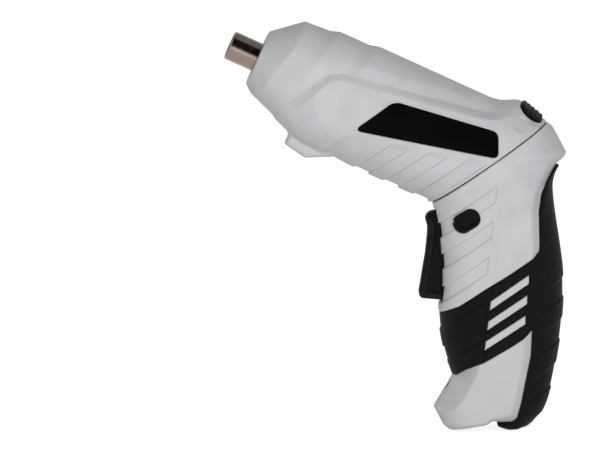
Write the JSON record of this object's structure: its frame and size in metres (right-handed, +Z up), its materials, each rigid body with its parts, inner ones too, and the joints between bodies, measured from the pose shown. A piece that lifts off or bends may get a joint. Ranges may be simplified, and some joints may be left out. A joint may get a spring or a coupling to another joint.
{
  "type": "electric screwdriver",
  "caption": "Folding cordless screwdriver in pistol form: grey shell, black rubber grip, trigger, selector, swivel lock, planetary gearbox and hex bit chuck",
  "frame": {"origin": "centre of the box's underside, with the tool standing on its foot", "axes": "+Z up the handle's axis, -X to the side the bit points to, -Y to the tool's left side"},
  "size_m": [0.1247, 0.0464, 0.1578],
  "materials": {
    "housing_grey": "satin",
    "grip_rubber": "matte",
    "dark_plastic": "satin",
    "badge_gloss": "gloss",
    "chuck_steel": "polished",
    "gear_steel": "satin",
    "screw_steel": "satin",
    "can_steel": "satin",
    "winding_steel": "satin",
    "brass": "satin",
    "magnet": "matte",
    "dark_nylon": "satin",
    "pale_nylon": "satin",
    "cell_wrap": "satin",
    "nickel_strip": "satin",
    "circuit_board": "satin",
    "lead_sleeve": "satin",
    "clear_lens": "gloss"
  },
  "bodies": {
    "handle": {"handle_shell_left": "housing_grey", "handle_shell_right": "housing_grey", "grip_left": "grip_rubber", "grip_right": "grip_rubber", "handle_screws": "screw_steel", "trigger_pin": "gear_steel", "switch_module": "dark_nylon", "battery_cell": "cell_wrap", "battery_tabs": "nickel_strip", "charge_port": "dark_plastic", "charge_board": "circuit_board", "switch_leads": "lead_sleeve"},
    "head": {"head_shell_left": "housing_grey", "head_shell_right": "housing_grey", "badge_left": "badge_gloss", "badge_right": "badge_gloss", "head_screws": "screw_steel", "swivel_hub": "dark_nylon", "work_light_lens": "clear_lens", "work_light_board": "circuit_board", "motor_can": "can_steel", "motor_end_cap": "dark_nylon", "motor_magnets": "magnet", "motor_plate": "can_steel", "ring_gear": "dark_nylon", "gearbox_cover": "dark_nylon", "spindle_bush": "brass", "motor_leads": "lead_sleeve", "lock_spring": "gear_steel"},
    "lock_button": {"lock_button": "dark_plastic"},
    "trigger": {"trigger": "dark_plastic"},
    "switch_plunger": {"switch_plunger": "pale_nylon"},
    "direction_selector": {"direction_selector": "dark_plastic"},
    "rotor": {"armature": "winding_steel", "motor_pinion": "brass"},
    "carrier_1": {"carrier_1": "gear_steel"},
    "carrier_2": {"carrier_2": "gear_steel"},
    "spindle": {"spindle": "gear_steel", "retaining_ring": "gear_steel", "chuck": "chuck_steel", "bit_magnet": "magnet"},
    "planet_1_a": {"planet_1_a": "pale_nylon"},
    "planet_1_b": {"planet_1_b": "pale_nylon"},
    "planet_1_c": {"planet_1_c": "pale_nylon"},
    "planet_2_a": {"planet_2_a": "pale_nylon"},
    "planet_2_b": {"planet_2_b": "pale_nylon"},
    "planet_2_c": {"planet_2_c": "pale_nylon"},
    "planet_3_a": {"planet_3_a": "gear_steel"},
    "planet_3_b": {"planet_3_b": "gear_steel"},
    "planet_3_c": {"planet_3_c": "gear_steel"}
  },
  "joints": [
    {"name": "head_swivel", "type": "hinge", "parent": "handle", "child": "head", "pos_m": [0.0329, 0, 0.1], "axis": [-0.5075, 0, 0.8616], "range_deg": [0, 180]},
    {"name": "trigger_pull", "type": "hinge", "parent": "handle", "child": "trigger", "pos_m": [0.0154, 0, 0.0795], "axis": [0, -1, 0], "range_deg": [0, 8], "stiffness_Nm_per_rad": 0.4, "springref_deg": -8.59},
    {"name": "switch_plunger_slide", "type": "slide", "parent": "handle", "child": "switch_plunger", "axis": [1, 0, 0], "range_m": [0, 0.0035]},
    {"name": "selector_slide", "type": "slide", "parent": "handle", "child": "direction_selector", "axis": [0, 1, 0], "range_m": [-0.002, 0.002]},
    {"name": "lock_press", "type": "slide", "parent": "head", "child": "lock_button", "axis": [-0.6947, 0, -0.7193], "range_m": [0, 0.0015], "stiffness_N_per_m": 900, "springref_m": -0.002, "deforming": ["lock_spring"]},
    {"name": "motor_spin", "type": "hinge", "parent": "head", "child": "rotor", "pos_m": [0.0329, 0, 0.1], "axis": [-0.8746, 0, 0.4848], "continuous": true},
    {"name": "carrier_1_spin", "type": "hinge", "parent": "head", "child": "carrier_1", "pos_m": [0.0329, 0, 0.1], "axis": [-0.8746, 0, 0.4848], "continuous": true},
    {"name": "carrier_2_spin", "type": "hinge", "parent": "head", "child": "carrier_2", "pos_m": [0.0329, 0, 0.1], "axis": [-0.8746, 0, 0.4848], "continuous": true},
    {"name": "spindle_spin", "type": "hinge", "parent": "head", "child": "spindle", "pos_m": [0.0329, 0, 0.1], "axis": [-0.8746, 0, 0.4848], "continuous": true},
    {"name": "planet_1_a_spin", "type": "hinge", "parent": "carrier_1", "child": "planet_1_a", "pos_m": [0.03683, 0, 0.10708], "axis": [-0.8746, 0, 0.4848], "continuous": true},
    {"name": "planet_1_b_spin", "type": "hinge", "parent": "carrier_1", "child": "planet_1_b", "pos_m": [0.03094, 0.00702, 0.09646], "axis": [-0.8746, 0, 0.4848], "continuous": true},
    {"name": "planet_1_c_spin", "type": "hinge", "parent": "carrier_1", "child": "planet_1_c", "pos_m": [0.03094, -0.00702, 0.09646], "axis": [-0.8746, 0, 0.4848], "continuous": true},
    {"name": "planet_2_a_spin", "type": "hinge", "parent": "carrier_2", "child": "planet_2_a", "pos_m": [0.03683, 0, 0.10708], "axis": [-0.8746, 0, 0.4848], "continuous": true},
    {"name": "planet_2_b_spin", "type": "hinge", "parent": "carrier_2", "child": "planet_2_b", "pos_m": [0.03094, 0.00702, 0.09646], "axis": [-0.8746, 0, 0.4848], "continuous": true},
    {"name": "planet_2_c_spin", "type": "hinge", "parent": "carrier_2", "child": "planet_2_c", "pos_m": [0.03094, -0.00702, 0.09646], "axis": [-0.8746, 0, 0.4848], "continuous": true},
    {"name": "planet_3_a_spin", "type": "hinge", "parent": "spindle", "child": "planet_3_a", "pos_m": [0.03683, 0, 0.10708], "axis": [-0.8746, 0, 0.4848], "continuous": true},
    {"name": "planet_3_b_spin", "type": "hinge", "parent": "spindle", "child": "planet_3_b", "pos_m": [0.03094, 0.00702, 0.09646], "axis": [-0.8746, 0, 0.4848], "continuous": true},
    {"name": "planet_3_c_spin", "type": "hinge", "parent": "spindle", "child": "planet_3_c", "pos_m": [0.03094, -0.00702, 0.09646], "axis": [-0.8746, 0, 0.4848], "continuous": true}
  ],
  "couplings": [
    {"joint": "switch_plunger_slide", "follows": "trigger_pull", "m_per_rad": 0.0222},
    {"joint": "carrier_1_spin", "follows": "motor_spin", "ratio": 0.22222},
    {"joint": "carrier_2_spin", "follows": "motor_spin", "ratio": 0.049383},
    {"joint": "spindle_spin", "follows": "motor_spin", "ratio": 0.010974},
    {"joint": "planet_1_a_spin", "follows": "motor_spin", "ratio": -0.62222},
    {"joint": "planet_1_b_spin", "follows": "motor_spin", "ratio": -0.62222},
    {"joint": "planet_1_c_spin", "follows": "motor_spin", "ratio": -0.62222},
    {"joint": "planet_2_a_spin", "follows": "motor_spin", "ratio": -0.13827},
    {"joint": "planet_2_b_spin", "follows": "motor_spin", "ratio": -0.13827},
    {"joint": "planet_2_c_spin", "follows": "motor_spin", "ratio": -0.13827},
    {"joint": "planet_3_a_spin", "follows": "motor_spin", "ratio": -0.030727},
    {"joint": "planet_3_b_spin", "follows": "motor_spin", "ratio": -0.030727},
    {"joint": "planet_3_c_spin", "follows": "motor_spin", "ratio": -0.030727}
  ]
}
